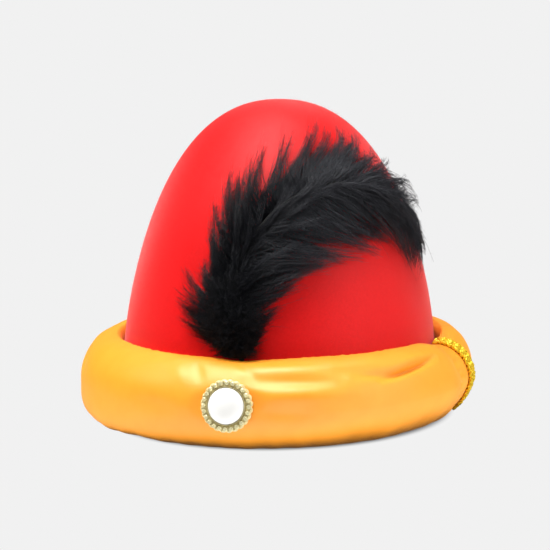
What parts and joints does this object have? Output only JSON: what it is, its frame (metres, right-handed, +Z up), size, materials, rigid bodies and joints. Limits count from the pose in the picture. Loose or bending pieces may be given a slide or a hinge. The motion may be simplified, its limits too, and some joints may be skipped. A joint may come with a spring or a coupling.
{
  "type": "costume hat",
  "caption": "Tall oval felt dome hat with a padded satin roll round its foot, a curled feather plume and a round pearl brooch.",
  "frame": {"origin": "middle of the head opening, on the surface that the hat stands on", "axes": "-Y towards the front of the hat, where the brooch is; +Z up; +Y to the back, along the long axis of the oval opening; the plume's tip and the braid are on the +X side"},
  "size_m": [0.2247, 0.2652, 0.1805],
  "materials": {
    "red_felt": "matt napped felt",
    "buckram": "open stiffened weave",
    "lining_cloth": "smooth taffeta",
    "sweatband_ribbon": "ribbed grosgrain",
    "bias_tape": "folded cotton tape",
    "gold_satin": "satin",
    "wadding": "fibrous",
    "metallic_braid": "metallic woven",
    "plume": "soft barbs with a slight sheen",
    "quill": "satin horn",
    "stem_tape": "crepe tape",
    "gilt_metal": "polished plating",
    "pearl": "pearlescent",
    "rhinestone": "faceted, foil backed",
    "thread": "twisted thread",
    "label_tape": "woven satin tape, blank"
  },
  "bodies": {
    "hat": {"crown_felt": "red_felt", "crown_stiffener": "buckram", "lining_gore_1": "lining_cloth", "lining_gore_2": "lining_cloth", "lining_gore_3": "lining_cloth", "lining_gore_4": "lining_cloth", "sweatband": "sweatband_ribbon", "opening_tape": "bias_tape", "roll_cover": "gold_satin", "roll_wadding": "wadding", "roll_braid": "metallic_braid", "quill_stub": "quill", "stub_tape": "stem_tape", "shank_thread": "thread"},
    "plume": {"plume_quill": "quill", "plume_outer_vane": "plume", "plume_inner_vane": "plume"},
    "brooch": {"brooch_base": "gilt_metal", "pearl_cup": "gilt_metal", "pearl": "pearl", "brooch_shank": "gilt_metal", "rhinestone_01": "rhinestone", "rhinestone_02": "rhinestone", "rhinestone_03": "rhinestone", "rhinestone_04": "rhinestone", "rhinestone_05": "rhinestone", "rhinestone_06": "rhinestone", "rhinestone_07": "rhinestone", "rhinestone_08": "rhinestone", "rhinestone_09": "rhinestone", "rhinestone_10": "rhinestone", "rhinestone_11": "rhinestone", "rhinestone_12": "rhinestone", "rhinestone_13": "rhinestone", "rhinestone_14": "rhinestone", "rhinestone_15": "rhinestone", "rhinestone_16": "rhinestone", "rhinestone_17": "rhinestone", "rhinestone_18": "rhinestone", "rhinestone_19": "rhinestone", "rhinestone_20": "rhinestone", "rhinestone_21": "rhinestone", "rhinestone_22": "rhinestone", "rhinestone_23": "rhinestone", "rhinestone_24": "rhinestone"},
    "label": {"care_label": "label_tape"}
  },
  "joints": [
    {"name": "plume_lift", "type": "hinge", "parent": "hat", "child": "plume", "pos_m": [0.0097, -0.1083, 0.0483], "axis": [0.8192, 0.5736, 0], "range_deg": [0, 25], "stiffness_Nm_per_rad": 0.05},
    {"name": "brooch_turn", "type": "hinge", "parent": "hat", "child": "brooch", "pos_m": [0.00816, -0.12908, 0.02617], "axis": [0.0818, -0.9843, 0.1564], "range_deg": [-20, 20]},
    {"name": "label_flap", "type": "hinge", "parent": "hat", "child": "label", "pos_m": [0, 0.0942, 0.07], "axis": [-1, 0, 0], "range_deg": [0, 75]}
  ]
}
